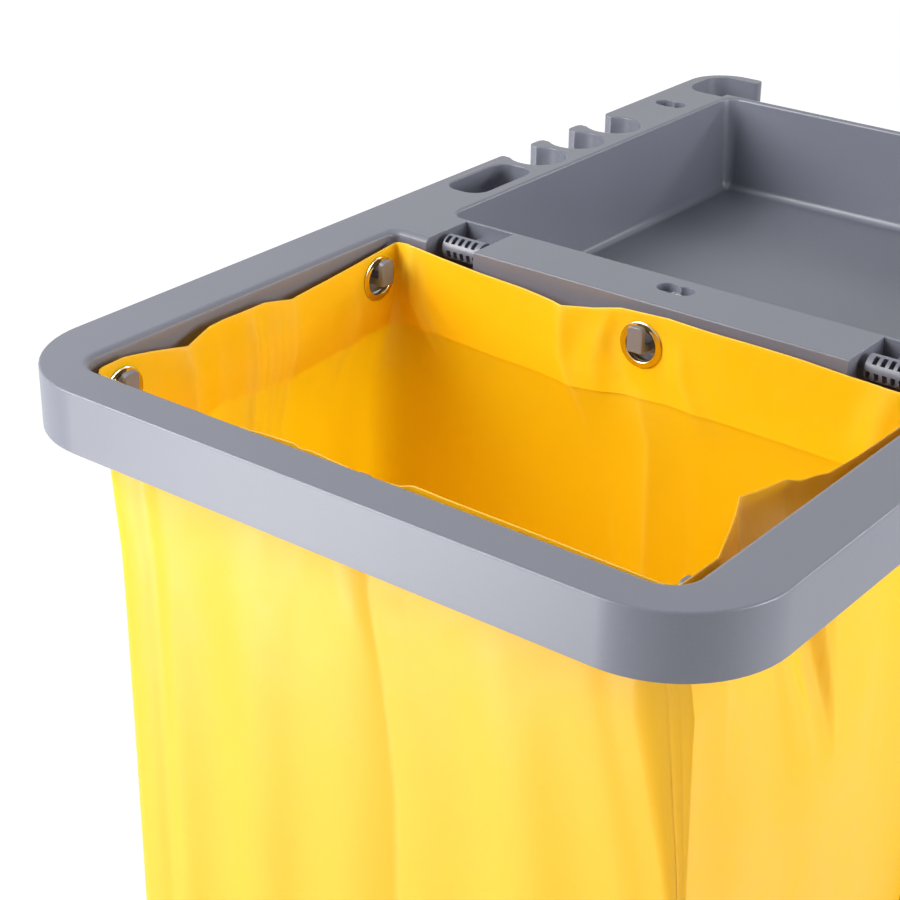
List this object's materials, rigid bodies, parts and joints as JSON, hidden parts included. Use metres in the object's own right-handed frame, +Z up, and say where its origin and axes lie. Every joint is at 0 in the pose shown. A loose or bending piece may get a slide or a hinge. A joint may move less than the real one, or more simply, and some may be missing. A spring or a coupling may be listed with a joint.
{
  "type": "janitor cart",
  "caption": "Janitor cart with a bag loop and tool tray moulded in one top, a hanging vinyl bag, posts, a shelf and a bucket deck on rear wheels and front casters.",
  "frame": {"origin": "centre of the cart's bounding box, on the floor", "axes": "+X from the bag end to the bucket end, +Y to the left, +Z up"},
  "size_m": [1.14, 0.51, 0.98],
  "materials": {
    "grey_plastic": "satin moulded polypropylene",
    "yellow_vinyl": "coated vinyl sheet",
    "eyelet_metal": "pressed and plated",
    "screw_steel": "zinc plated",
    "grey_rubber": "matt thermoplastic rubber",
    "white_nylon": "turned nylon",
    "wheel_plastic": "moulded polypropylene",
    "dark_plastic": "moulded polypropylene",
    "zinc_steel": "zinc plated"
  },
  "bodies": {
    "root": {"top_moulding": "grey_plastic", "hinge_barrel_left": "grey_plastic", "hinge_barrel_right": "grey_plastic", "cross_bar_screw": "screw_steel", "front_rail_screws": "screw_steel", "bag_hooks": "grey_plastic", "waste_bag": "yellow_vinyl", "bag_eyelets": "eyelet_metal", "tie_bar": "dark_plastic", "tie_bar_screws": "screw_steel", "post_rear_left": "grey_plastic", "post_rear_right": "grey_plastic", "post_front_left": "grey_plastic", "post_front_right": "grey_plastic", "post_foot_screws": "screw_steel", "middle_shelf": "grey_plastic", "shelf_screws": "screw_steel", "base_deck": "grey_plastic", "rear_axle": "zinc_steel", "axle_spacer_left": "dark_plastic", "axle_spacer_right": "dark_plastic", "axle_cap_left": "dark_plastic", "axle_cap_right": "dark_plastic", "caster_plate_left": "zinc_steel", "caster_plate_right": "zinc_steel", "caster_race_left": "dark_plastic", "caster_race_right": "dark_plastic", "king_pin_left": "zinc_steel", "king_pin_right": "zinc_steel", "caster_plate_screws": "screw_steel"},
    "rear_wheel_left": {"rear_hub_left": "wheel_plastic", "rear_bush_left": "white_nylon", "rear_tyre_left": "grey_rubber"},
    "swivel_left": {"caster_fork_left": "zinc_steel", "caster_bolt_left": "zinc_steel", "caster_nut_left": "zinc_steel"},
    "caster_wheel_left": {"caster_hub_left": "wheel_plastic", "caster_tread_left": "grey_rubber"},
    "rear_wheel_right": {"rear_hub_right": "wheel_plastic", "rear_bush_right": "white_nylon", "rear_tyre_right": "grey_rubber"},
    "swivel_right": {"caster_fork_right": "zinc_steel", "caster_bolt_right": "zinc_steel", "caster_nut_right": "zinc_steel"},
    "caster_wheel_right": {"caster_hub_right": "wheel_plastic", "caster_tread_right": "grey_rubber"}
  },
  "joints": [
    {"name": "rear_wheel_spin_left", "type": "hinge", "parent": "root", "child": "rear_wheel_left", "pos_m": [-0.395, 0.2288, 0.1], "axis": [0, 1, 0], "continuous": true},
    {"name": "caster_swivel_left", "type": "hinge", "parent": "root", "child": "swivel_left", "pos_m": [0.475, 0.165, 0.1], "axis": [0, 0, 1], "continuous": true},
    {"name": "caster_spin_left", "type": "hinge", "parent": "swivel_left", "child": "caster_wheel_left", "pos_m": [0.44, 0.165, 0.05], "axis": [0, 1, 0], "continuous": true},
    {"name": "rear_wheel_spin_right", "type": "hinge", "parent": "root", "child": "rear_wheel_right", "pos_m": [-0.395, -0.2288, 0.1], "axis": [0, 1, 0], "continuous": true},
    {"name": "caster_swivel_right", "type": "hinge", "parent": "root", "child": "swivel_right", "pos_m": [0.475, -0.165, 0.1], "axis": [0, 0, 1], "continuous": true},
    {"name": "caster_spin_right", "type": "hinge", "parent": "swivel_right", "child": "caster_wheel_right", "pos_m": [0.44, -0.165, 0.05], "axis": [0, 1, 0], "continuous": true}
  ]
}
